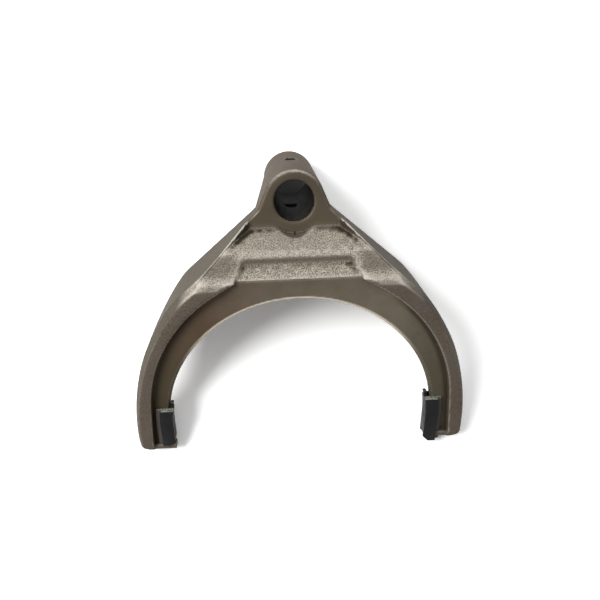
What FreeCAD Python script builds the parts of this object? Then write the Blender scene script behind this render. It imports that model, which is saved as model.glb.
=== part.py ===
import FreeCAD, Part
import math
import os

# Shift fork: one casting with a hub that slides on a rail, two arms that reach round a sleeve,
# and a plastic slipper pad clipped on each tip.
# Frame: the rail bore runs along Y, and the origin is on its axis, midway along the hub.
# The arms hang down (-Z), and the fork's front looks to -Y. All sizes are in millimetres.
# The shapes are drawn with the hub's front face at y = 0, and moved back by half the hub at the end.

# Hub
bore_diameter = 20.0
bore_chamfer = 1.0
hub_wall = 5.6
hub_length = 56.0
hub_taper = 1.4            # how much the hub's radius shrinks from front to rear
hub_bevel = 1.6
skirt_angle = 24.0         # flare of the hub's sides, from upright
skirt_inset = 0.05
spot_face_margin = 0.6     # the facing cutter's radius beyond the hub's
pin_diameter = 6.6
pin_from_front = 30.0

# Ring: the thin machined web that reaches into the sleeve's groove
ring_drop = 112.7          # from the rail's axis down to the sleeve's axis
ring_radius = 71.9
ring_thickness = 4.0
ring_edge_chamfer = 1.2
yoke_offset = 28.0         # how far the ring's face lies in front of the hub's

# Machined recess in front of the ring, and the rim left standing round it
ring_face_width = 8.2
recess_rise = 8.0          # the recess is struck from a point this far above the sleeve's axis
recess_taper = 0.3
recess_run_out_angle = 4.5       # angle at which the recess leaves its arc towards the tip
rim_width = 8.0
rim_height = 5.0
rim_bevel = 2.2
rim_bevel_depth = 6.0

# Arms and shoulders
shoulder_angle = 40.0
shoulder_fullness = 1.5    # the shoulders stand this far outside the arms' arc
shoulder_blend_angle = 28.0  # angle on the arms' arc where the shoulder has blended in
shoulder_rear = 15.0
flank_taper = 1.2
arm_run_out_angle = 20.0         # angle at which the arm's outside turns into its flatter lower arc
arm_lower_radius = 132.8
tip_drop = 14.4            # from the sleeve's axis down to the tips' ends
tip_corner_radius = 5.0
tip_bevel_height = 4.9
tip_bevel_depth = 2.5
chin_height = 3.1
chin_depth = 2.3
chin_lip = 1.9             # how far it stands into the opening, flush with the pad

# Front of the yoke between hub and ring. Depths are measured forward from the hub's face.
# Heights and blends are shares of the height between the hub's face and the ring's opening.
shelf_start = 13.5         # below the rail's axis, at the hub's face
ridge_forward = 20.0
ridge_share = 0.227
shoulder_ridge_forward = 18.5
shoulder_ridge_share = 0.210
brow_forward = 25.5
brow_share = 0.495
hump_forward = 31.0
hump_share = 0.604
hump_foot_share = 0.751
valley_forward = 21.5
valley_share = 0.429
ledge_share = 0.626        # the ring face's upper edge
soft_blend_share = 0.147
tight_blend_share = 0.074
relief_half_width = 27.5   # at the valley's depth
relief_flare = 0.52        # how fast the relief widens towards the front
lip_half_width = 22.7      # half width of the hub's face at the shelf
lip_spread = 1.32          # how steeply the lips beside the shelf run forward
seam_spread = 0.877        # the same, from the shoulder's ridge on

# Rear of the yoke
arm_back_depth = 6.5       # from the ring's face back to the arms' flat back
pocket_wall_offset = 8.2   # pocket's radius beyond the ring's
gusset_drop = 41.0
gusset_crest_radius = 12.0
gusset_foot_radius = 25.0
skirt_rear_drop = 11.7
skirt_rear_slope = 0.57

# Slipper pads
pad_wall = 1.9
pad_clearance = 0.1
pad_plate_width = 7.0
pad_plate_thickness = 3.8
pad_rear_thickness = 1.5
pad_flange_width = 2.3
pad_flange_thickness = 1.5
pad_top_rise = 11.4        # the plates' upper ends, above the sleeve's axis
pad_tab_rise = 14.7
pad_tab_depth = 3.0
pad_tab_thickness = 1.6
pad_corner = 3.0
right_pad_lap = 1.8        # how far the right pad reaches below the tip's end
right_pad_slip = 1.4       # how far it stands off the ring, towards the sleeve

hub_radius = bore_diameter / 2 + hub_wall
bridge = ring_drop - ring_radius - shelf_start
soft_blend = bridge * soft_blend_share
tight_blend = bridge * tight_blend_share
ring_front = -yoke_offset
ring_rear = ring_front + ring_thickness
arm_back = ring_front + arm_back_depth
rim_front = ring_front - rim_height
recess_radius = ring_radius + ring_face_width
recess_centre = -ring_drop + recess_rise
arm_radius = recess_radius + rim_width
tip_end = -ring_drop - tip_drop
reach = 4 * (arm_radius + ring_drop)  # longer than the whole part, for cutting tools


def at(x, y, z):
    return FreeCAD.Vector(x, y, z)


def polar(radius, degrees, y, centre_z):
    angle = math.radians(degrees)
    return at(radius * math.cos(angle), y, centre_z + radius * math.sin(angle))


def heading(degrees):
    angle = math.radians(degrees)
    return at(math.cos(angle), 0, math.sin(angle))


def mirrored(vector):
    return at(-vector.x, vector.y, vector.z)


def rounded_profile(corners):
    """A closed wire through (point, radius) corners, each rounded by a tangent arc."""
    spans = []
    count = len(corners)
    for index, (point, radius) in enumerate(corners):
        before = corners[index - 1][0] - point
        after = corners[(index + 1) % count][0] - point
        before.normalize()
        after.normalize()
        if radius == 0:
            spans.append((point, None, point))
            continue
        half = before.getAngle(after) / 2
        middle = before + after
        middle.normalize()
        back = radius / math.tan(half)
        crest = radius / math.sin(half) - radius
        spans.append((point + before * back, point + middle * crest, point + after * back))
    edges = []
    for index, (start, crest, end) in enumerate(spans):
        if crest is not None:
            edges.append(Part.Arc(start, crest, end).toShape())
        following = spans[(index + 1) % count][0]
        edges.append(Part.makeLine(end, following))
    return Part.Wire(edges)


def prism_along_x(corners, half_width):
    """A bar along X with a rounded section given as ((y, z), radius) corners."""
    wire = rounded_profile([(at(-half_width, y, z), radius) for (y, z), radius in corners])
    return Part.Face(wire).extrude(at(2 * half_width, 0, 0))


def cylinder_along_y(radius, z, y_start, y_end):
    return Part.makeCylinder(radius, y_end - y_start, at(0, y_start, z), at(0, 1, 0))


def cone_along_y(radius_start, radius_end, z, y_start, y_end):
    return Part.makeCone(radius_start, radius_end, y_end - y_start, at(0, y_start, z), at(0, 1, 0))


def lower_arm_point(inset, z, y):
    """A point on the arm's flatter lower arc, which is tangent to the arc above it."""
    centre = polar(arm_lower_radius - arm_radius, arm_run_out_angle + 180, y, recess_centre)
    radius = arm_lower_radius - inset
    return at(centre.x + math.sqrt(radius ** 2 - (z - centre.z) ** 2), y, z)


def yoke_outline(inset, y):
    """The yoke's outer outline, seen from the front, moved inwards by the inset."""
    radius = arm_radius - inset
    normal = 90 - shoulder_angle
    shoulder_distance = arm_radius + shoulder_fullness - inset
    peak = at(0, y, recess_centre + shoulder_distance / math.sin(math.radians(normal)))
    blend_top = polar(shoulder_distance, normal, y, recess_centre)
    blend_foot = polar(radius, shoulder_blend_angle, y, recess_centre)
    pull = radius * math.radians(normal - shoulder_blend_angle) / 3
    poles = [blend_top, blend_top + heading(normal - 90) * pull,
             blend_foot - heading(shoulder_blend_angle - 90) * pull, blend_foot]
    arm_middle = polar(radius, (shoulder_blend_angle + arm_run_out_angle) / 2, y, recess_centre)
    arm_end = polar(radius, arm_run_out_angle, y, recess_centre)
    corner_z = tip_end + tip_corner_radius
    lower_middle = lower_arm_point(inset, (arm_end.z + corner_z) / 2, y)
    corner_start = lower_arm_point(inset, corner_z, y)
    corner_centre = corner_start - at(tip_corner_radius, 0, 0)
    corner_crest = corner_centre + heading(-45) * tip_corner_radius
    corner_end = corner_centre + heading(-90) * tip_corner_radius
    right = [("line", peak, blend_top), ("bezier", poles), ("arc", blend_foot, arm_middle, arm_end),
             ("arc", arm_end, lower_middle, corner_start), ("arc", corner_start, corner_crest, corner_end)]
    edges = [edge_from(step) for step in right]
    edges.append(Part.makeLine(corner_end, mirrored(corner_end)))
    for step in reversed(right):
        edges.append(edge_from(turned_over(step)))
    return Part.Wire(edges)


def edge_from(step):
    kind, values = step[0], step[1:]
    if kind == "line":
        return Part.makeLine(*values)
    if kind == "arc":
        return Part.Arc(*values).toShape()
    curve = Part.BezierCurve()
    curve.setPoles(values[0])
    return curve.toShape()


def turned_over(step):
    if step[0] == "bezier":
        return ("bezier", [mirrored(point) for point in reversed(step[1])])
    return (step[0],) + tuple(mirrored(point) for point in reversed(step[1:]))


def recess_outline(radius, y):
    """The recess's edge: an arc over the sleeve, and straight runs down past the tips."""
    start = polar(radius, recess_run_out_angle, y, recess_centre)
    down = heading(recess_run_out_angle - 90)
    foot = start + down * ((tip_end - ring_thickness - start.z) / down.z)
    top = at(0, y, recess_centre + radius)
    edges = [Part.makeLine(foot, start),
             Part.Arc(start, top, mirrored(start)).toShape(),
             Part.makeLine(mirrored(start), mirrored(foot)),
             Part.makeLine(mirrored(foot), foot)]
    return Part.Wire(edges)


def loft_between(first, second):
    return Part.makeLoft([first, second], True, True)


def skirt_section(radius, centre_z, y):
    """The skirt's flanks, leaving a circle of this radius just inside its tangent points."""
    flare = math.radians(skirt_angle)
    top_x = (radius - skirt_inset) * math.cos(flare)
    top_z = centre_z + (radius - skirt_inset) * math.sin(flare)
    foot_z = front_height(valley_share)
    foot_x = top_x + (top_z - foot_z) * math.tan(flare)
    corners = [at(top_x, y, top_z), at(foot_x, y, foot_z), at(-foot_x, y, foot_z), at(-top_x, y, top_z)]
    return Part.makePolygon(corners + corners[:1])


def circle_along_y(radius, z, y):
    return Part.Wire(Part.makeCircle(radius, at(0, y, z), at(0, 1, 0)))


def hub():
    """The round boss with its top front edge bevelled, and the skirt that flares to the yoke."""
    rear_radius = hub_radius - hub_taper
    nose_radius = hub_radius - hub_bevel / 2
    nose_centre = -hub_bevel / 2
    boss = cone_along_y(hub_radius, rear_radius, 0, hub_bevel, hub_length)
    nose = loft_between(circle_along_y(nose_radius, nose_centre, 0),
                        circle_along_y(hub_radius, 0, hub_bevel))
    sections = [skirt_section(nose_radius, nose_centre, 0), skirt_section(hub_radius, 0, hub_bevel),
                skirt_section(rear_radius, 0, hub_length)]
    skirt = Part.makeLoft(sections, True, True)
    behind = [((shoulder_rear, -skirt_rear_drop), 0),
              ((hub_length * 2, -skirt_rear_drop + (hub_length * 2 - shoulder_rear) * skirt_rear_slope), 0),
              ((hub_length * 2, -reach), 0), ((shoulder_rear, -reach), 0)]
    skirt = skirt.cut(prism_along_x(behind, reach))
    return boss.fuse([nose, skirt])


def yoke_blank():
    """The yoke before machining: tapered both ways from the die's parting line."""
    parting = rim_front + rim_bevel_depth
    front = loft_between(yoke_outline(rim_bevel, rim_front), yoke_outline(0, parting))
    rear = loft_between(yoke_outline(0, parting), yoke_outline(flank_taper, shoulder_rear))
    return front.fuse(rear)


def front_cut(profile, half_width):
    """Everything above and in front of a stepped profile that starts at the hub's face."""
    front = rim_front * 2
    corners = [((0, reach), 0), ((0, -shelf_start), soft_blend)] + profile
    corners += [((front, profile[-1][0][1]), 0), ((front, reach), 0)]
    return prism_along_x(corners, half_width)


def front_height(share):
    return -shelf_start - bridge * share


def shoulder_front():
    """Shelf, brow and hump as they run out over the shoulders and into the rims."""
    profile = [((-shoulder_ridge_forward, front_height(shoulder_ridge_share)), soft_blend),
               ((-brow_forward, front_height(brow_share)), soft_blend),
               ((-hump_forward, front_height(hump_share)), tight_blend),
               ((rim_front, front_height(hump_foot_share)), 0)]
    stepped = front_cut(profile, reach)
    front = rim_front * 2
    ridge_x = lip_half_width + shoulder_ridge_forward / lip_spread
    seam_x = ridge_x - (front + shoulder_ridge_forward) / seam_spread
    right = [at(lip_half_width, 0, -reach), at(ridge_x, -shoulder_ridge_forward, -reach), at(seam_x, front, -reach)]
    return stepped.common(mirrored_block(right))


def mirrored_block(right):
    """A tall block whose plan has these corners on the right and their mirror on the left."""
    corners = right + [mirrored(corner) for corner in reversed(right)]
    return Part.Face(Part.makePolygon(corners + corners[:1])).extrude(at(0, 0, 2 * reach))


def centre_relief():
    """The deeper valley and ledge between the two notches, with ramps at its ends."""
    profile = [((-ridge_forward, front_height(ridge_share)), soft_blend),
               ((-valley_forward, front_height(valley_share)), soft_blend),
               ((ring_front, front_height(ledge_share)), 0)]
    front = rim_front * 2
    back_x = relief_half_width - valley_forward * relief_flare
    front_x = relief_half_width - (front + valley_forward) * relief_flare
    right = [at(back_x, 0, -reach), at(front_x, front, -reach)]
    return front_cut(profile, reach).common(mirrored_block(right))


def recess():
    margin = rim_height + ring_thickness
    outer = recess_radius + recess_taper * margin / rim_height
    return loft_between(recess_outline(recess_radius, ring_front),
                        recess_outline(outer, ring_front - margin))


def rear_cut():
    """What is left open behind the yoke: the sloping gussets and the flat back of the arms."""
    gusset_top = ring_radius - ring_drop
    corners = [((shoulder_rear * 4, gusset_top), 0),
               ((shoulder_rear, gusset_top), gusset_crest_radius),
               ((arm_back, gusset_top - gusset_drop), gusset_foot_radius),
               ((arm_back, -reach), 0),
               ((shoulder_rear * 4, -reach), 0)]
    return prism_along_x(corners, reach)


def tip_bevel():
    outside = rim_front * 2
    corners = [((rim_front, tip_end + tip_bevel_height), 0),
               ((rim_front + tip_bevel_depth, tip_end), 0),
               ((rim_front + tip_bevel_depth, -reach), 0),
               ((outside, -reach), 0),
               ((outside, tip_end + tip_bevel_height), 0)]
    return prism_along_x(corners, reach)


def chins():
    """The ledge across each tip's end, below the pad: proud of the ring's face and of its opening."""
    inside = ring_radius - chin_lip
    width = recess_radius + rim_width / 2 - inside
    bars = []
    for low_x in (inside, -inside - width):
        bars.append(Part.makeBox(width, chin_depth + ring_thickness, chin_height,
                                 at(low_x, ring_front - chin_depth, tip_end)))
    return bars


def ring_opening():
    """The opening for the sleeve: round above its axis and straight below, front edge broken."""
    through = cylinder_along_y(ring_radius, -ring_drop, -reach, reach)
    flare = cone_along_y(ring_radius + ring_edge_chamfer, ring_radius, -ring_drop,
                         ring_front, ring_front + ring_edge_chamfer)
    legs = Part.makeBox(2 * ring_radius, 2 * reach, reach, at(-ring_radius, -reach, -ring_drop - reach))
    return through.fuse([flare, legs])


def rail_bore():
    radius = bore_diameter / 2
    wide = radius + bore_chamfer
    through = cylinder_along_y(radius, 0, -reach, reach)
    front = cone_along_y(wide, radius, 0, 0, bore_chamfer)
    rear = cone_along_y(radius, wide, 0, hub_length - bore_chamfer, hub_length)
    return through.fuse([front, rear])


def fork_casting():
    body = yoke_blank().cut([shoulder_front(), centre_relief(), recess(), rear_cut(), tip_bevel()])
    pocket = cylinder_along_y(ring_radius + pocket_wall_offset, -ring_drop, ring_rear, reach)
    spot_face = cylinder_along_y(hub_radius + spot_face_margin, 0, -reach, 0)
    body = body.cut([pocket, spot_face])
    body = body.fuse(hub())
    pin_hole = Part.makeCylinder(pin_diameter / 2, 2 * reach, at(0, pin_from_front, -reach))
    pin_span = Part.makeBox(pin_diameter * 2, pin_diameter * 2, 4 * hub_radius,
                            at(-pin_diameter, pin_from_front - pin_diameter, -2 * hub_radius))
    body = body.cut([ring_opening(), rail_bore(), pin_hole.common(pin_span)])
    return body.fuse(chins()).removeSplitter()


def pad_section(inner, outer, y_start, y_end, foot, top, inset=0):
    """A right-hand pad's wall between two radii: curved above the sleeve's axis, straight below.
    Its edge on the sleeve's side is moved outwards by the inset at its rear."""
    def outline(y, inner_radius):
        points = []
        for radius in (inner_radius, outer):
            middle = math.sqrt(radius ** 2 - (top / 2) ** 2)
            points.append((at(radius, y, foot - ring_drop), at(radius, y, -ring_drop),
                           at(middle, y, top / 2 - ring_drop),
                           at(math.sqrt(radius ** 2 - top ** 2), y, top - ring_drop)))
        near, far = points
        edges = [Part.makeLine(near[0], near[1]), Part.Arc(near[1], near[2], near[3]).toShape(),
                 Part.makeLine(near[3], far[3]), Part.Arc(far[3], far[2], far[1]).toShape(),
                 Part.makeLine(far[1], far[0]), Part.makeLine(far[0], near[0])]
        return Part.Wire(edges)
    return loft_between(outline(y_start, inner), outline(y_end, inner + inset))


def slipper_pad(foot):
    """A pad that wraps one tip: a thick front plate, a running face and a thin rear plate.
    The foot is the height of its lower end, from the sleeve's axis."""
    seat = ring_radius - pad_clearance
    running = seat - pad_wall
    plate_edge = running + pad_plate_width
    front = ring_front - pad_plate_thickness
    rear = ring_rear + pad_rear_thickness
    wall = pad_section(running, seat, front, ring_rear, foot, pad_top_rise)
    back = pad_section(running, plate_edge, ring_rear, rear, foot, pad_top_rise, pad_wall * 0.8)
    plate = pad_section(running, plate_edge, front, ring_front, foot, pad_top_rise)
    flange = pad_section(plate_edge, plate_edge + pad_flange_width,
                         ring_front - pad_flange_thickness, ring_front, foot, pad_top_rise)
    tab = pad_section(seat - pad_tab_thickness, seat, ring_front, ring_front + pad_tab_depth,
                      foot, pad_tab_rise)
    corner = [at(running, front, foot - ring_drop), at(running + pad_corner, front, foot - ring_drop),
              at(running, front, foot - ring_drop + pad_corner)]
    cut_corner = Part.Face(Part.makePolygon(corner + corner[:1])).extrude(at(0, rear - front, 0))
    return wall.fuse([back, plate, flange, tab]).cut([cut_corner, chin_room()]).removeSplitter()


def chin_room():
    """The space that a pad leaves free for the ledge across the tip's end."""
    return Part.makeBox(reach, chin_depth + ring_thickness + pad_clearance, chin_height + 2 * pad_clearance,
                        at(ring_radius - chin_lip - pad_clearance,
                           ring_front - chin_depth - pad_clearance, tip_end - pad_clearance))


os.makedirs("parts", exist_ok=True)
chin_top = tip_end + chin_height
left_foot = chin_top + pad_clearance + ring_drop
right_foot = tip_end - right_pad_lap + ring_drop

casting = fork_casting()
left_pad = slipper_pad(left_foot).mirror(at(0, 0, 0), at(1, 0, 0))
right_pad = slipper_pad(right_foot)
right_pad.translate(at(-right_pad_slip, 0, 0))

for name, shape in (("fork_casting", casting), ("left_slipper_pad", left_pad), ("right_slipper_pad", right_pad)):
    shape.translate(at(0, -hub_length / 2, 0))
    shape.exportStep("parts/" + name + ".step")
    print(name, len(shape.Solids), "solids", shape.isValid(), round(shape.Volume / 1000, 2), "cm3",
          [round(v, 1) for v in (shape.BoundBox.XMin, shape.BoundBox.XMax, shape.BoundBox.YMin,
                                 shape.BoundBox.YMax, shape.BoundBox.ZMin, shape.BoundBox.ZMax)])
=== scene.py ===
# %% [markdown]
# # A shift fork, dressed for its portrait
#
# A shift fork slides on a rail inside a gearbox and moves a sleeve with its two arms. This one is a
# steel casting: most of its skin still shows the rough mould, and only the faces that touch the
# rail and the sleeve are machined. Two black plastic slipper pads sit on the tips. The solids come
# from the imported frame, in metres. Here they get softened cast edges, finishes, a table, a lamp and
# a camera.

# %% Load the frame
import math

import bmesh
import bpy
from mathutils import Euler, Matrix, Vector, noise


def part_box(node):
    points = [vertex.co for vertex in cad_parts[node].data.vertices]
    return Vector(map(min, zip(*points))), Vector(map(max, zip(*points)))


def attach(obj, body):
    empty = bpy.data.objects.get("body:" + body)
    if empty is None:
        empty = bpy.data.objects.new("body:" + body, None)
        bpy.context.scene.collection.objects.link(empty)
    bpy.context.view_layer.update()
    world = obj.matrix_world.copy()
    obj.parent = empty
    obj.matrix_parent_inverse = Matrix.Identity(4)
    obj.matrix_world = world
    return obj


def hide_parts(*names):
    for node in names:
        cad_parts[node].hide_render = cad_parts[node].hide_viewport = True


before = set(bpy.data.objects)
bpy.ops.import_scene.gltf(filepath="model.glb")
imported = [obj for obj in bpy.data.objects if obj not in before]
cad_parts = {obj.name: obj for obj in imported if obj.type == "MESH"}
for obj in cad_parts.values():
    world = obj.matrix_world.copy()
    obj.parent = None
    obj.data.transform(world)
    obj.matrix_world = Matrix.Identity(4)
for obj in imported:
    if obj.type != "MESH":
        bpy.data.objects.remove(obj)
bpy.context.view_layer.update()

MM = 0.001
scene = bpy.context.scene
scene.view_settings.view_transform = "Standard"

# %% [markdown]
# ## Where the machined faces are
#
# The machined faces are flat planes and true circles, so a few sizes say where they lie. The rail's
# axis is the Y axis. The sleeve that the arms reach round turns about a second axis further down,
# and the recess beside it was milled about a third one, a little above that. The marks below could
# be painted by hand, but named sizes put each of them exactly where the CAD has its face.

# %% Name the sizes that place the machined faces
HUB_FRONT = -28.0 * MM
HUB_REAR = 28.0 * MM
RING_PLANE = -56.0 * MM
RING_REAR = -52.0 * MM
RIM_PLANE = -61.0 * MM
SLEEVE_Z = -112.7 * MM
RING_RADIUS = 71.9 * MM
RECESS_Z = -104.7 * MM
RECESS_RADIUS = 80.1 * MM
BORE_RADIUS = 10.0 * MM
PIN_HOLE_Y = 2.0 * MM
PIN_HOLE_RADIUS = 3.3 * MM


def distance_in_plan(x, z, centre_z):
    """The distance from an axis that runs along Y at the given height."""
    return math.hypot(x, z - centre_z)


print("width of the ring's face at the arms in mm:", round((RECESS_RADIUS - RING_RADIUS) / MM, 1))

# %% [markdown]
# ## From sharp solid to casting
#
# Molten steel doesn't fill sharp corners, and blasting rounds them further, so every cast edge is
# soft. A bevel can't follow so many crossing faces. A voxel remesh gives the whole skin small,
# even faces instead, which a later smoothing can round.

# %% Copy the casting and give it an even skin
MERGE_DISTANCE = 0.01 * MM
SKIN_GRID = 0.73 * MM        # keeps the casting under 200,000 triangles


def merged_copy(node, name):
    """A new object with a copy of the node's mesh, its loose triangles joined into one skin."""
    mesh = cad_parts[node].data.copy()
    mesh.name = name
    mesh.materials.clear()
    work = bmesh.new()
    work.from_mesh(mesh)
    bmesh.ops.remove_doubles(work, verts=work.verts, dist=MERGE_DISTANCE)
    work.to_mesh(mesh)
    work.free()
    piece = bpy.data.objects.new(name, mesh)
    scene.collection.objects.link(piece)
    return piece


def bake_modifiers(piece):
    """Replaces the piece's mesh by what its modifiers make of it."""
    seen = piece.evaluated_get(bpy.context.evaluated_depsgraph_get())
    mesh = bpy.data.meshes.new_from_object(seen)
    piece.modifiers.clear()
    piece.data = mesh


casting = merged_copy("fork_casting", "cast_fork")
remesh = casting.modifiers.new("even skin", "REMESH")
remesh.mode = "VOXEL"
remesh.voxel_size = SKIN_GRID
bake_modifiers(casting)
print("skin faces:", len(casting.data.polygons))

# %% [markdown]
# ## Telling machined faces from cast ones
#
# Each vertex gets a number from 0, cast, to 1, machined. A vertex counts as machined where it lies
# on one of the named planes or circles and faces the way that the cutter left it. Two separate
# meshes would do too, but one number on one skin leaves no seam, and the same number steers both
# the rounding and the finish.

# %% Mark the machined faces
NEAR = 0.35 * MM             # about half the skin's grid
SQUARELY = 0.8               # a machined plane faces along the bore at least this much
WALL_INWARD = 0.6            # the recess's wall faces the sleeve at least this much
CHAMFER_INWARD = 0.3
RUN_OUT = 3 * MM             # the ring's face reaches past the recess's circle near the tips
WALL_BAND = 2 * MM
WALL_REACH = 88 * MM         # the wall stays this near the sleeve's axis
WALL_TOP = -30 * MM
CHAMFER_BAND = 1.5 * MM
BORE_BAND = 1.2 * MM         # takes in the chamfers at both ends
PIN_HOLE_BAND = 0.4 * MM


def is_machined(place, normal):
    x, y, z = place
    from_sleeve = distance_in_plan(x, z, SLEEVE_Z)
    from_recess = distance_in_plan(x, z, RECESS_Z)
    inward = -(normal.x * x + normal.z * (z - SLEEVE_Z)) / max(from_sleeve, MM)
    if abs(y - RING_PLANE) < NEAR and normal.y < -SQUARELY:
        return from_recess < RECESS_RADIUS + RUN_OUT
    by_the_wall = from_recess > RECESS_RADIUS - WALL_BAND and from_sleeve < WALL_REACH
    if y < RING_PLANE and inward > WALL_INWARD and by_the_wall:
        return z < WALL_TOP
    on_ring = y < RING_REAR and inward > CHAMFER_INWARD and from_sleeve < RING_RADIUS + CHAMFER_BAND
    on_hub_front = abs(y - HUB_FRONT) < NEAR and normal.y < -SQUARELY
    on_hub_rear = abs(y - HUB_REAR) < NEAR and normal.y > SQUARELY
    in_bore = math.hypot(x, z) < BORE_RADIUS + BORE_BAND
    in_pin_hole = math.hypot(x, y - PIN_HOLE_Y) < PIN_HOLE_RADIUS + PIN_HOLE_BAND
    return on_ring or on_hub_front or on_hub_rear or in_bore or in_pin_hole


def add_number(mesh, name, values):
    attribute = mesh.attributes.new(name, "FLOAT", "POINT")
    attribute.data.foreach_set("value", values)


machined = [1.0 if is_machined(v.co, v.normal) else 0.0 for v in casting.data.vertices]
print("machined share of the skin:", round(sum(machined) / len(machined), 3))

# %% [markdown]
# ## Rounding the cast edges
#
# Cast edges are round, and fine inner corners are filled, while a cutter leaves its faces crisp.
# Sculpting could do this by hand. A Smooth modifier does it evenly, and a vertex group tells it
# where to hold back: on the machined faces, and a little on the rims and the hub's face, which
# were dressed on a grinder.

# %% Round the cast edges
ROUNDING_PASSES = 14
CUT_HOLD = 0.9               # how much of the rounding a machined face is spared
DRESSED_SHARE = 0.15         # how much of it a dressed face still gets
RIM_DEPTHS = (-48 * MM, -56 * MM)
RIM_HEIGHTS = (-50 * MM, -64 * MM)
HUB_RADII = (22 * MM, 19 * MM)
HUB_HEIGHTS = (-14 * MM, -10 * MM)


def smooth_step(low, high, value):
    """0 up to low and 1 from high on, with a soft rise between them."""
    share = min(1.0, max(0.0, (value - low) / (high - low)))
    return share * share * (3 - 2 * share)


cast_group = casting.vertex_groups.new(name="cast")
for index, vertex in enumerate(casting.data.vertices):
    x, y, z = vertex.co
    on_rim = smooth_step(*RIM_DEPTHS, y) * smooth_step(*RIM_HEIGHTS, z)
    on_hub = smooth_step(*HUB_RADII, math.hypot(x, z)) * smooth_step(*HUB_HEIGHTS, z)
    softness = 1.0 - (1.0 - DRESSED_SHARE) * max(on_rim, on_hub)
    cast_group.add([index], softness * (1.0 - CUT_HOLD * machined[index]), "REPLACE")
rounding = casting.modifiers.new("rounded by the mould", "SMOOTH")
rounding.factor = 0.5
rounding.iterations = ROUNDING_PASSES
rounding.vertex_group = "cast"
bake_modifiers(casting)
print("vertices after rounding:", len(casting.data.vertices))

# %% [markdown]
# ## The mould's own roughness
#
# The steps between the hub and the ring still show the coarse sand that they were cast in, while the
# rims and flanks were dressed smoother. Bump in the material alone would leave the outline smooth,
# so the coarse skin gets real bumps, moved along the normals by a noise of 3 mm grain. A second
# number marks the coarse part, with an uneven border.

# %% Mark and roughen the coarse skin
COARSE_GRAIN = 3.0 * MM
COARSE_HEIGHT = 0.22 * MM
BORDER_GRAIN = 7 * MM
BORDER_SHIFT = 4 * MM        # how far the border strays
COARSE_WIDTHS = (49 * MM, 62 * MM)
COARSE_FOOT = (-66 * MM, -58 * MM)
LOOKS_UP = (0.28, 0.6)
LOOKS_FORWARD = (0.0, -0.15)
BROW_WIDTHS = (27 * MM, 33 * MM)     # the two brows beside the relief were dressed in part
BROW_TOP = (-19 * MM, -21 * MM)
BROW_FOOT = (-29 * MM, -26 * MM)
BROW_DRESSED = 0.7


def coarseness(place, normal):
    x, y, z = place
    stray = noise.noise(place / BORDER_GRAIN) * BORDER_SHIFT
    up = smooth_step(*LOOKS_UP, normal.z)
    front = smooth_step(HUB_FRONT, HUB_FRONT - 1.5 * MM, y) * smooth_step(*LOOKS_FORWARD, normal.y)
    middle = 1 - smooth_step(*COARSE_WIDTHS, abs(x) + stray)
    brow = smooth_step(*BROW_WIDTHS, abs(x) + stray) * smooth_step(*BROW_TOP, z)
    brow *= smooth_step(*BROW_FOOT, z + stray * 0.3)
    return up * front * middle * (1 - BROW_DRESSED * brow) * smooth_step(*COARSE_FOOT, z + stray)


skin = casting.data
skin.update()
coarse = [coarseness(v.co, v.normal) * (1 - machined[i]) for i, v in enumerate(skin.vertices)]
moved = [v.co + v.normal * noise.noise(v.co / COARSE_GRAIN) * COARSE_HEIGHT * coarse[i]
         for i, v in enumerate(skin.vertices)]
skin.vertices.foreach_set("co", [n for place in moved for n in place])
skin.shade_smooth()
skin.update()
add_number(skin, "machined", machined)
add_number(skin, "coarse", coarse)
print("coarse share of the skin:", round(sum(coarse) / len(coarse), 3))

# %% [markdown]
# ## Bright edges and dark corners
#
# Handling polishes the edges of a steel part, so the edges are painted lighter, partly as that wear
# and partly as painted highlight, and the corners are painted dark as painted shade. Both follow from
# the shape: where a smoother copy of the skin lies below the real one there is an edge, and where it
# lies above there is a corner. Cycles' Pointiness finds them too, but it changes with the grid and
# the export loses it, so the heights are measured here, in millimetres, and kept as numbers.

# %% Measure edges and corners
FINE_PASSES = 3              # a little smoothing finds fine edges
WIDE_PASSES = 90             # and a lot finds whole ridges and valleys


def height_over_smoothed(piece, passes):
    """How far each vertex stands above a smoothed copy of the skin, in millimetres."""
    smoothing = piece.modifiers.new("measure", "SMOOTH")
    smoothing.factor = 0.5
    smoothing.iterations = passes
    seen = piece.evaluated_get(bpy.context.evaluated_depsgraph_get())
    smoothed = [v.co.copy() for v in seen.to_mesh().vertices]
    seen.to_mesh_clear()
    piece.modifiers.remove(smoothing)
    return [(v.co - smoothed[i]).dot(v.normal) / MM for i, v in enumerate(piece.data.vertices)]


for name, passes in (("fine_edge", FINE_PASSES), ("wide_edge", WIDE_PASSES)):
    heights = height_over_smoothed(casting, passes)
    add_number(skin, name, heights)
    print(name, "in mm:", round(min(heights), 2), "to", round(max(heights), 2))

# %% [markdown]
# ## Where the mould's halves met
#
# A casting shows a thin line where the halves of its mould met. Here it runs down from each side of
# the hub's face, along the outer edge of the shoulder's steps, and in plan it has one kink. A
# second line runs round the arms' flanks. A raised seam this fine would need a far denser skin, so
# each vertex keeps its distance from the line instead, and the finish draws the line from that.

# %% Measure the distance to the line on the shoulders
LINE_START = 22.7 * MM       # half the spread of the lines at the hub's face
LINE_KINK = 18.5 * MM        # how far in front of the hub's face they turn
UPPER_SPREAD = 1 / 1.32      # how fast they spread towards the front, above the kink
LOWER_SPREAD = 1 / 0.877
LINE_LIMIT = 5.0             # in millimetres: past this a distance doesn't matter
LINE_FOOT = (-70 * MM, -62 * MM)


def limited(distance):
    return max(-LINE_LIMIT, min(LINE_LIMIT, distance / MM))


def from_parting_line(place):
    forward = max(0.0, HUB_FRONT - place.y)
    upper, lower = min(forward, LINE_KINK), max(0.0, forward - LINE_KINK)
    return limited(abs(place.x) - LINE_START - (upper * UPPER_SPREAD + lower * LOWER_SPREAD))


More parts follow.
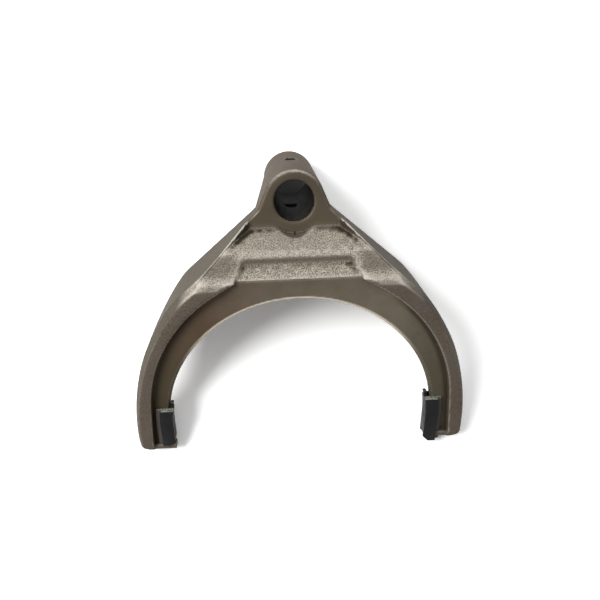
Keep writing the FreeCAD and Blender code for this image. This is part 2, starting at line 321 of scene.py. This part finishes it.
def shows_line(vertex, cut):
    """1 where the line shows: on the front and upper faces of the shoulders."""
    x, y, z = vertex.co
    shown = smooth_step(HUB_FRONT + 1 * MM, HUB_FRONT - 1 * MM, y)
    shown *= smooth_step(*LINE_FOOT, z)
    return shown * smooth_step(RIM_PLANE, RIM_PLANE + 3 * MM, y) * (1 - cut)


add_number(skin, "line_distance", [from_parting_line(v.co) for v in skin.vertices])
line_shown = [shows_line(v, machined[i]) for i, v in enumerate(skin.vertices)]
add_number(skin, "line_shown", line_shown)
print("share of the skin that may show the line:", round(sum(line_shown) / len(line_shown), 3))

# %% Mark the flanks and the line on them
FLANK_LINE = -55.0 * MM              # the line's depth on the arms
FLANK_LINE_TOP = (-20 * MM, -35 * MM)
OFF_HUB = (17 * MM, 21 * MM)         # a flank starts this far from the bore's axis


def outwardness(vertex):
    """How squarely a face looks away from the recess's axis, from -1 to 1."""
    x, y, z = vertex.co
    away = vertex.normal.x * x + vertex.normal.z * (z - RECESS_Z)
    return away / max(distance_in_plan(x, z, RECESS_Z), MM)


def shows_flank_line(vertex):
    upright = smooth_step(-0.6, -0.4, vertex.normal.y)
    return smooth_step(0.3, 0.6, outwardness(vertex)) * upright * \
        smooth_step(*FLANK_LINE_TOP, vertex.co.z)


def flank_share(vertex):
    """1 on the faces that look away from the sleeve and aren't part of the front or the hub."""
    off_front = smooth_step(-0.85, -0.7, vertex.normal.y)
    off_hub = smooth_step(*OFF_HUB, math.hypot(vertex.co.x, vertex.co.z))
    return smooth_step(0.25, 0.5, outwardness(vertex)) * off_front * off_hub


flanks = [flank_share(v) for v in skin.vertices]
add_number(skin, "flank", flanks)
add_number(skin, "flank_line_distance", [limited(v.co.y - FLANK_LINE) for v in skin.vertices])
add_number(skin, "flank_line_shown", [shows_flank_line(v) for v in skin.vertices])
print("flanks' share of the skin:", round(sum(flanks) / len(flanks), 3))

# %% [markdown]
# ## Where the ring's chamfer is bright
#
# The chamfer round the ring was turned last and is bare metal, and near its crown it is also painted
# light as a painted highlight. It could be a separate strip with its own material. One more number
# marks it without a seam, and fades towards the arms.

# %% Mark the ring's chamfer
CHAMFER = 1.2 * MM
CHAMFER_FADE = (-78 * MM, -52 * MM)


def chamfer_share(place):
    x, y, z = place
    from_sleeve = distance_in_plan(x, z, SLEEVE_Z)
    outer, rear = RING_RADIUS + CHAMFER, RING_PLANE + CHAMFER
    across_it = smooth_step(RING_RADIUS - 0.4 * MM, RING_RADIUS, from_sleeve) * \
        smooth_step(outer + 0.5 * MM, outer, from_sleeve)
    return across_it * smooth_step(rear + 0.8 * MM, rear, y) * smooth_step(*CHAMFER_FADE, z)


bright = [chamfer_share(v.co) for v in skin.vertices]
add_number(skin, "chamfer", bright)
print("bright chamfer's share of the skin:", round(sum(bright) / len(bright), 4))

# %% [markdown]
# ## A few helpers for finishes
#
# Colours are written as the hex values that a picture program shows, and one function turns them
# into the linear values that Blender's shaders expect. Another adds a node with its settings and
# links. Two more say what a finish is made of: where a coat lies, and which coats lie over which.

# %% Helpers for colours and nodes


def linear(hex_colour):
    values = [int(hex_colour[i:i + 2], 16) / 255 for i in (1, 3, 5)]
    curved = [v / 12.92 if v < 0.04045 else ((v + 0.055) / 1.055) ** 2.4 for v in values]
    return (*curved, 1.0)


def new_material(name):
    material = bpy.data.materials.new(name)
    material.use_nodes = True
    material.node_tree.nodes.clear()
    return material


def add(material, kind, inputs=None, out=0, **settings):
    """Adds a node, sets or links its inputs, and gives an output, or the node if out is None."""
    node = material.node_tree.nodes.new("ShaderNode" + kind)
    for name, value in settings.items():
        setattr(node, name, value)
    for key, value in (inputs or {}).items():
        if isinstance(value, bpy.types.NodeSocket):
            material.node_tree.links.new(value, node.inputs[key])
        else:
            node.inputs[key].default_value = value
    return node if out is None else node.outputs[out]


print("mid grey is", round(linear("#808080")[0], 3), "in linear light")

# %% Helpers for coats
MIX_SHARE, MIX_UNDER, MIX_OVER, MIX_RESULT = 0, 6, 7, 2      # a colour mix's sockets


def share_where(material, *ranges):
    """A share that rises where every range holds. A range is a value, where it starts and where
    it is full, and then what it gives there, if that isn't 0 and 1."""
    share = None
    for value, start, full, *gives in ranges:
        low, high = gives or (0.0, 1.0)
        part = add(material, "MapRange", {"Value": value, "From Min": start, "From Max": full,
                                          "To Min": low, "To Max": high})
        share = part if share is None else add(
            material, "Math", {0: share, 1: part}, operation="MULTIPLY")
    return share


def coated(material, colour, *coats):
    """A colour with coats laid over it. Each coat is its share and its own colour or finish."""
    under = linear(colour) if isinstance(colour, str) else colour
    for share, over in coats:
        over = linear(over) if isinstance(over, str) else over
        under = add(material, "Mix", {MIX_SHARE: share, MIX_UNDER: under, MIX_OVER: over},
                    MIX_RESULT, data_type="RGBA")
    return under


print("helpers for coats:", share_where.__name__, "and", coated.__name__)

# %% [markdown]
# ## Cast steel, blasted and partly machined
#
# One material covers most of the casting, because its skin changes gradually. The blasted skin is a
# brownish grey that scatters light, with painted shade on the flanks. The coarse sand skin is paler,
# with its grains painted as pale glints. The machined faces are darker, because they mirror more and
# scatter less. Painted textures could show this, but noise at the grit's own size stays sharp from
# any side and needs no picture.

# %% Lay out the steel's patterns
STAIN_SIZE = 22 * MM         # handling and oil leave stains as wide as a thumb
BLAST_GRIT = 0.9 * MM        # drawn coarser than real shot marks, which wouldn't show
SAND_GRIT = 0.6 * MM         # coarse casting sand
PIT_SPACING = 2.2 * MM

steel = new_material("cast_steel_blasted")
place = add(steel, "TexCoord", out="Object")
across, along, height = add(steel, "SeparateXYZ", {"Vector": place}, None).outputs
stain = add(steel, "TexNoise", {"Vector": place, "Scale": 1 / STAIN_SIZE, "Detail": 4,
                                "Roughness": 0.6}, "Fac")
grit = add(steel, "TexNoise", {"Vector": place, "Scale": 1 / BLAST_GRIT, "Detail": 3,
                               "Roughness": 0.65}, "Fac")
sand = add(steel, "TexNoise", {"Vector": place, "Scale": 1 / SAND_GRIT, "Detail": 3,
                               "Roughness": 0.7}, "Fac")
pits = add(steel, "TexVoronoi", {"Vector": place, "Scale": 1 / PIT_SPACING}, "Distance")
on_skin = {name: add(steel, "Attribute", out="Fac", attribute_name=name)
           for name in skin.attributes.keys() if skin.attributes[name].data_type == "FLOAT"}
print("numbers on the skin:", sorted(on_skin))

# %% Colour the blasted skin and the coarse sand skin
HUB_HIGHLIGHT_DEPTHS = (-26.4 * MM, -27 * MM)       # the hub's front edge, on its upper side
HUB_HIGHLIGHT_HEIGHTS = (7 * MM, 14 * MM)

stained = share_where(steel, (stain, 0.35, 0.68))
gritty = share_where(steel, (grit, 0.35, 0.7))
# Painted glints: pale dots in the coarse sand skin stand in for the sparkle of its grains.
grain_glints = share_where(steel, (sand, 0.4, 0.6))
pitted = share_where(steel, (pits, 0.18, 0.06))

blasted = coated(steel, "#58514a", (stained, "#50443a"), (gritty, "#645c52"))
# Painted shade: the flanks, which look outward, get a darker copy of the blasted skin.
flank_shaded_skin = coated(steel, "#544f47", (stained, "#4c453c"), (gritty, "#5e584f"))
sandy = coated(steel, "#645b4f", (grain_glints, "#bdb5a8"), (pitted, "#3a342b"))
finish = coated(steel, blasted, (on_skin["flank"], flank_shaded_skin), (on_skin["coarse"], sandy))

# In the coarse skin, valleys get painted shade and ridges a painted highlight, and the hub's front
# edge gets a painted highlight on its upper side.
valley_shade = share_where(steel, (on_skin["wide_edge"], -0.05, -0.45), (on_skin["coarse"], 0, 1))
ridge_highlight = share_where(steel, (on_skin["wide_edge"], 0.1, 0.6, 0, 0.6), (on_skin["coarse"], 0, 1))
hub_edge_highlight = share_where(steel, (along, *HUB_HIGHLIGHT_DEPTHS), (height, *HUB_HIGHLIGHT_HEIGHTS),
                     (grit, 0.3, 0.6, 0.3, 0.9))
finish = coated(steel, finish, (valley_shade, "#383227"), (ridge_highlight, "#d2ccc2"), (hub_edge_highlight, "#a8a297"))
print("nodes for the cast skin:", len(steel.node_tree.nodes))

# %% Colour the machined faces
# The machined faces are darker on the left and lighter to the right, on the arms and on the crown;
# they take one more tone towards the hub, and random oil stains darken them in patches.
CROWN_HEIGHTS, CROWN_WIDTHS = (-82 * MM, -48 * MM), (-48 * MM, 0)
ARMS_WIDTHS = (-50 * MM, 50 * MM)
HUB_FOOT = (-40 * MM, -20 * MM)

to_crown = share_where(steel, (height, *CROWN_HEIGHTS))
to_hub = share_where(steel, (height, *HUB_FOOT))
oily = share_where(steel, (stain, 0.4, 0.7, 0, 0.4))
crown = coated(steel, "#594a3d", (share_where(steel, (across, *CROWN_WIDTHS)), "#6c6558"))
arms = coated(steel, "#494133", (share_where(steel, (across, *ARMS_WIDTHS)), "#544e42"))
cut = coated(steel, arms, (to_crown, crown), (to_hub, "#564e42"), (oily, "#463d30"))
finish = coated(steel, finish, (on_skin["machined"], cut))
print("nodes with the machined faces:", len(steel.node_tree.nodes))

# %% Add polished edges with painted highlights, and painted shade in the corners
RECESS_TOP = (-40 * MM, -50 * MM)
RECESS_DEPTHS = (-50 * MM, -54 * MM)

polished_and_highlit = share_where(steel, (on_skin["fine_edge"], 0.03, 0.1, 0, 0.65),
                       (on_skin["coarse"], 0, 1, 1, 0.3))
# Painted shade: concave fine corners are painted dark.
corner_shade = share_where(steel, (on_skin["fine_edge"], -0.02, -0.1, 0, 0.85))
# Painted shade: the corner at the foot of the recess's wall is painted dark.
recess_shade = share_where(steel, (on_skin["wide_edge"], -0.15, -0.6, 0, 0.75),
                            (height, *RECESS_TOP), (along, *RECESS_DEPTHS))
finish = coated(steel, finish, (polished_and_highlit, "#9a9285"), (corner_shade, "#27231c"),
                (recess_shade, "#29231a"))
print("nodes with edges and corners:", len(steel.node_tree.nodes))

# %% Add the parting lines, the slit and the bright chamfer
LINE_EDGE, LINE_CORE = 0.45, 0.15                # in millimetres from the line's middle
SLIT_EDGE, SLIT_CORE = 0.45 * MM, 0.2 * MM       # from the slit's middle
SLIT_TOP, SLIT_FOOT = (-14.9 * MM, -15.2 * MM), (-18.1 * MM, -17.7 * MM)
SLIT_FRONT, SLIT_REAR = (-31.6 * MM, -31 * MM), (-25 * MM, -26 * MM)

for line, strength in (("line", 0.75), ("flank_line", 0.6)):
    from_line = add(steel, "Math", {0: on_skin[line + "_distance"]}, operation="ABSOLUTE")
    drawn = share_where(steel, (from_line, LINE_EDGE, LINE_CORE, 0, strength),
                        (on_skin[line + "_shown"], 0, 1))
    finish = coated(steel, finish, (drawn, "#2a261f"))

# The slit is a thin upright mark in the middle, between the bore and the shelf.
from_middle = add(steel, "Math", {0: across}, operation="ABSOLUTE")
slit = share_where(steel, (from_middle, SLIT_EDGE, SLIT_CORE), (height, *SLIT_TOP),
                   (height, *SLIT_FOOT), (along, *SLIT_FRONT), (along, *SLIT_REAR))
# The chamfer is painted light, both as bare metal and as a painted highlight near the crown.
finish = coated(steel, finish, (slit, "#1d1a15"), (on_skin["chamfer"], "#aaa293"))
print("nodes with lines and chamfer:", len(steel.node_tree.nodes))

# %% Give the steel its relief and gloss
# Blasted steel hardly mirrors even at a slant, so its specular level is low and its edge tint grey.
# The fresh chamfer is bare metal.
GRIT_DEPTH = 0.1 * MM
SAND_DEPTH = 0.45 * MM

grit_bump = add(steel, "Bump", {"Height": grit, "Strength": 0.5, "Distance": GRIT_DEPTH})
sand_bump = add(steel, "Bump", {"Height": sand, "Strength": on_skin["coarse"],
                                "Distance": SAND_DEPTH, "Normal": grit_bump})
rough = share_where(steel, (on_skin["machined"], 0, 1, 0.72, 0.45))
turned_smooth = share_where(steel, (on_skin["chamfer"], 0, 1, 0, 0.14))
rough = add(steel, "Math", {0: rough, 1: turned_smooth}, operation="SUBTRACT")
metallic = share_where(steel, (on_skin["chamfer"], 0, 1, 0.15, 0.95))
steel_shader = add(steel, "BsdfPrincipled", {
    "Base Color": finish, "Roughness": rough, "Metallic": metallic, "Normal": sand_bump,
    "Specular IOR Level": 0.1, "Specular Tint": linear("#b8b2a8")})
add(steel, "OutputMaterial", {"Surface": steel_shader}, None)
print(steel.name, "nodes:", len(steel.node_tree.nodes))

# %% [markdown]
# ## Painted shade in the bore
#
# The bore hides in the hub's own shade, and its steel is painted nearly black as painted shade. It
# could be one more coat in the steel, but the painted shade lies only on faces inside the bore and
# the pin hole, with a clear border at their edges, so it gets a material of its own, with little
# gloss.

# %% Make the bore's painted shade
SHADE_PATCH_SIZE = 5 * MM           # patches of darker and lighter painted shade

bore_shade = new_material("steel_bore_painted_shade")
place = add(bore_shade, "TexCoord", out="Object")
shade_patch = add(bore_shade, "TexNoise", {"Vector": place, "Scale": 1 / SHADE_PATCH_SIZE, "Detail": 3}, "Fac")
# Painted shade: the bore's steel is painted nearly black, in patches.
dark = coated(bore_shade, "#171714", (share_where(bore_shade, (shade_patch, 0.35, 0.65)), "#24221e"))
bore_shade_shader = add(bore_shade, "BsdfPrincipled", {
    "Base Color": dark, "Roughness": share_where(bore_shade, (shade_patch, 0.3, 0.7, 0.5, 0.65)),
    "Specular IOR Level": 0.12})
add(bore_shade, "OutputMaterial", {"Surface": bore_shade_shader}, None)
print(bore_shade.name, "nodes:", len(bore_shade.node_tree.nodes))

# %% Give each face of the casting its finish
BORE_MARGIN = 0.5 * MM
BORE_END = HUB_REAR - 0.9 * MM       # the chamfers at the ends stay bare
PIN_HOLE_MARGIN = 0.3 * MM
UPRIGHT = 0.5                        # a face of the pin hole looks less than this up or down

skin.materials.append(steel)
skin.materials.append(bore_shade)
bore_shade_faces = 0
# Faces inside the bore and the pin hole get the painted shade.
for face in skin.polygons:
    x, y, z = face.center
    in_bore = math.hypot(x, z) < BORE_RADIUS + BORE_MARGIN and abs(y) < BORE_END
    in_pin_hole = math.hypot(x, y - PIN_HOLE_Y) < PIN_HOLE_RADIUS + PIN_HOLE_MARGIN and \
        abs(face.normal.z) < UPRIGHT
    face.material_index = 1 if in_bore or in_pin_hole else 0
    bore_shade_faces += face.material_index
print("oiled faces:", bore_shade_faces, "of", len(skin.polygons))
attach(casting, "root")
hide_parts("fork_casting")

# %% [markdown]
# ## Slipper pads
#
# The pads are moulded in glass-filled polyamide, which wears well against the turning sleeve. The
# plastic is nearly black, with the slight sheen and fine flow marks of a moulding. The thin flange
# beside each plate is painted a paler grey, and the upper ends, which look up, are painted pale as a
# painted highlight. Both could be separate pieces, but they are the same moulding, so the material
# finds them by their place and by where they face.

# %% Make the black plastic
FLOW_SIZE = 6 * MM                        # flow marks of the moulding
FINE_GRAIN = 0.8 * MM                     # drawn coarser than the mould's own, which wouldn't show
FINE_DEPTH = 0.05 * MM
PADS_CENTRE = (-0.7 * MM, 0, SLEEVE_Z)    # the right pad has slipped 1.4 mm, so they share this
PLATE_EDGE = 76.2 * MM                    # where the thick plate ends and the thin flange starts

polyamide = new_material("black_polyamide_moulded")
place = add(polyamide, "TexCoord", out="Object")
flow = add(polyamide, "TexNoise", {"Vector": place, "Scale": 1 / FLOW_SIZE, "Detail": 3}, "Fac")
fine = add(polyamide, "TexNoise", {"Vector": place, "Scale": 1 / FINE_GRAIN, "Detail": 2}, "Fac")
across, along, height = add(polyamide, "SeparateXYZ", {"Vector": place}, None).outputs
facing = add(polyamide, "SeparateXYZ", {"Vector": add(polyamide, "NewGeometry", out="Normal")},
             None).outputs

# The pads are curved above the sleeve's axis and straight below it.
curved = add(polyamide, "Math", {0: height, 1: SLEEVE_Z}, operation="MAXIMUM")
flat = add(polyamide, "CombineXYZ", {"X": across, "Z": curved})
from_sleeve = add(polyamide, "VectorMath", {0: flat, 1: PADS_CENTRE}, "Value",
                  operation="DISTANCE")
# The thin flange beside the plate, where it faces front, is painted a paler grey.
pale_flange = share_where(polyamide, (from_sleeve, PLATE_EDGE + 0.2 * MM, PLATE_EDGE + 0.5 * MM),
                    (facing["Y"], -0.6, -0.85))
# Painted highlight: the faces that look up at the plate's end are painted pale in patches.
top_highlight = share_where(polyamide, (facing["Z"], 0.6, 0.8), (fine, 0.35, 0.5),
                      (along, RING_PLANE + 1 * MM, RING_PLANE - 1 * MM))
black = coated(polyamide, "#131212", (share_where(polyamide, (flow, 0.3, 0.7)), "#1a1919"),
               (pale_flange, "#4f4a45"), (top_highlight, "#8f9188"))
fine_bump = add(polyamide, "Bump", {"Height": fine, "Strength": 0.4, "Distance": FINE_DEPTH})
pad_shader = add(polyamide, "BsdfPrincipled", {
    "Base Color": black, "Roughness": share_where(polyamide, (flow, 0.3, 0.7, 0.42, 0.55)),
    "Normal": fine_bump, "IOR": 1.53, "Specular IOR Level": 0.12})
add(polyamide, "OutputMaterial", {"Surface": pad_shader}, None)
print(polyamide.name, "nodes:", len(polyamide.node_tree.nodes))

# %% [markdown]
# ## The pads' moulded edges
#
# A moulded part has small even radii on every edge, because a sharp one would tear in the mould. A
# remesh as on the casting would soften the plates too much. Each pad is a merged copy of its solid
# with a Bevel modifier, which keeps its faces flat.

# %% Make the pads
PAD_EDGE = 0.3 * MM
EDGE_STEPS = 3
SHARPER_THAN = math.radians(35)

for side in ("left", "right"):
    pad = merged_copy(side + "_slipper_pad", side + "_pad")
    pad.data.materials.append(polyamide)
    edges = pad.modifiers.new("moulded edges", "BEVEL")
    edges.width = PAD_EDGE
    edges.segments = EDGE_STEPS
    edges.limit_method = "ANGLE"
    edges.angle_limit = SHARPER_THAN
    edges.harden_normals = True
    pad.data.shade_smooth()
    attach(pad, "root")
    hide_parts(side + "_slipper_pad")
    print(pad.name, "faces before the bevel:", len(pad.data.polygons))

# %% [markdown]
# ## The table
#
# The fork is shown from above, as if it lay on its back on a white table: the hub's rear rim and
# the tips lie just above it. The fork stays in the CAD's frame, so it is the table that leans. A
# curved backdrop isn't needed, because the camera sees nothing but the table.

# %% Lay the table parallel to the hub's rear rim and the pads
TABLE_SIZE = 3.0
TABLE_DROP = 0.5 * MM
HUB_REAR_RADIUS = 14.2 * MM

pad_low, pad_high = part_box("right_slipper_pad")
upper_rest = Vector((0, HUB_REAR, -HUB_REAR_RADIUS))
lower_rest = Vector((0, pad_high.y, pad_low.z))
down_table = (lower_rest - upper_rest).normalized()
out_of_table = Vector((0, down_table.z, -down_table.y))
tilt = math.atan2(-out_of_table.y, out_of_table.z)
middle = (upper_rest + lower_rest) / 2 - out_of_table * TABLE_DROP

work = bmesh.new()
bmesh.ops.create_grid(work, x_segments=1, y_segments=1, size=TABLE_SIZE / 2)
bmesh.ops.rotate(work, verts=work.verts, cent=(0, 0, 0), matrix=Euler((tilt, 0, 0)).to_matrix())
bmesh.ops.translate(work, verts=work.verts, vec=middle)
table_mesh = bpy.data.meshes.new("table")
work.to_mesh(table_mesh)
work.free()
table = bpy.data.objects.new("table", table_mesh)
scene.collection.objects.link(table)
print("table tilt in degrees:", round(math.degrees(tilt), 1))

# %% [markdown]
# ## The table's white
#
# A studio table is lit until it turns white in the picture. More light would bleach the fork, so
# the paint itself is brighter for rays from the camera, a mirror or glass, and plain white paint
# for the light that it throws on the fork. It keeps the fork's shadow, and from behind it is clear,
# so that it never hides the fork. A painted shadow darkens it under the hub, behind the bore.

# %% Paint the table
PAINT_WHITE, STUDIO_WHITE = 0.85, 1.4
# Painted shadow: the table is darkened round a spot under the hub, behind the bore.
SHADOW_SPOT = (0, 35 * MM, -4 * MM)
SHADOW_CORE, SHADOW_EDGE, SHADOW_DARK = 9 * MM, 18 * MM, 0.07


def seen_directly(material):
    """1 for a ray from the camera, a mirror or glass, and 0 for one that only carries light."""
    rays = add(material, "LightPath", out=None).outputs
    seen = rays["Is Camera Ray"]
    for name in ("Is Glossy Ray", "Is Transmission Ray"):
        seen = add(material, "Math", {0: seen, 1: rays[name]}, operation="MAXIMUM")
    return seen


paint = new_material("white_table_paint")
from_spot = add(paint, "VectorMath", {0: add(paint, "TexCoord", out="Object"), 1: SHADOW_SPOT},
                "Value", operation="DISTANCE")
whiteness = share_where(paint, (seen_directly(paint), 0, 1, PAINT_WHITE, STUDIO_WHITE),
                        (from_spot, SHADOW_CORE, SHADOW_EDGE, SHADOW_DARK, 1.0))
from_above = add(paint, "BsdfDiffuse", {"Color": whiteness})
from_below = add(paint, "BsdfTransparent")
behind = add(paint, "NewGeometry", out="Backfacing")
sided = add(paint, "MixShader", {0: behind, 1: from_above, 2: from_below})
add(paint, "OutputMaterial", {"Surface": sided}, None)
table_mesh.materials.append(paint)
print(paint.name, "nodes:", len(paint.node_tree.nodes))

# %% [markdown]
# ## Light
#
# A soft lamp hangs over the table, well to the left, so that the shadow falls to the right. A
# smaller lamp would draw a harder shadow than the photograph has. The world fills the rest,
# brighter from above the hub than from below the tips, so that sloping faces stand out from
# upright ones, and it is plain white to the camera and to gloss.

# %% Hang the lamp
LAMP_DISTANCE = 1.0
TO_THE_LEFT = 0.75           # how far to the left the lamp hangs, as a share of its height
LAMP_WIDTH = 0.5
LAMP_WATTS = 9.2
LAMP_AIM = Vector((0, -0.02, -0.06))

lamp_way = (out_of_table - Vector((TO_THE_LEFT, 0, 0))).normalized()
lamp_data = bpy.data.lights.new("softbox", "AREA")
lamp_data.shape = "DISK"
lamp_data.size = LAMP_WIDTH
lamp_data.energy = LAMP_WATTS
lamp = bpy.data.objects.new("softbox", lamp_data)
lamp.location = LAMP_AIM + lamp_way * LAMP_DISTANCE
lamp.rotation_euler = lamp_way.to_track_quat("Z", "Y").to_euler()
scene.collection.objects.link(lamp)
print("lamp direction:", [round(n, 2) for n in lamp_way])

# %% Set the world
FILL_BELOW, FILL_ABOVE = 0.05, 1.1

world = bpy.data.worlds.new("studio")
scene.world = world
world.use_nodes = True
world.node_tree.nodes.clear()
way = add(world, "TexCoord", out="Generated")
upward = add(world, "SeparateXYZ", {"Vector": way}, "Z")
fill = share_where(world, (upward, -0.2, 1.0, FILL_BELOW, FILL_ABOVE))
strength = share_where(world, (seen_directly(world), 0, 1, fill, 1.0))
background = add(world, "Background", {"Strength": strength, "Color": (1, 1, 1, 1)})
add(world, "OutputWorld", {"Surface": background}, None)
print("fill from", FILL_BELOW, "below to", FILL_ABOVE, "above")

# %% [markdown]
# ## Camera
#
# The camera's place was found by matching the hub, the pin hole and the ring's arcs with the
# photograph. Framing by eye would miss its distance: it is close, about 33 cm off, which is why the
# rims look larger than the hub's far end. The shift only frames the fork as the photograph does.

# %% Set the camera
camera_data = bpy.data.cameras.new("camera")
camera_data.sensor_width = 36.0
camera_data.lens = 36.0
camera_data.shift_x = 0.0311
camera_data.shift_y = 0.1254
camera_data.clip_start = 10 * MM
camera = bpy.data.objects.new("camera", camera_data)
camera.location = (-16.79 * MM, -329.64 * MM, 77.99 * MM)
camera.rotation_euler = [math.radians(turn) for turn in (59.398, 1.632, -2.39)]
scene.collection.objects.link(camera)
scene.camera = camera
print("camera is", round(camera.location.length / MM), "mm from the hub's middle")
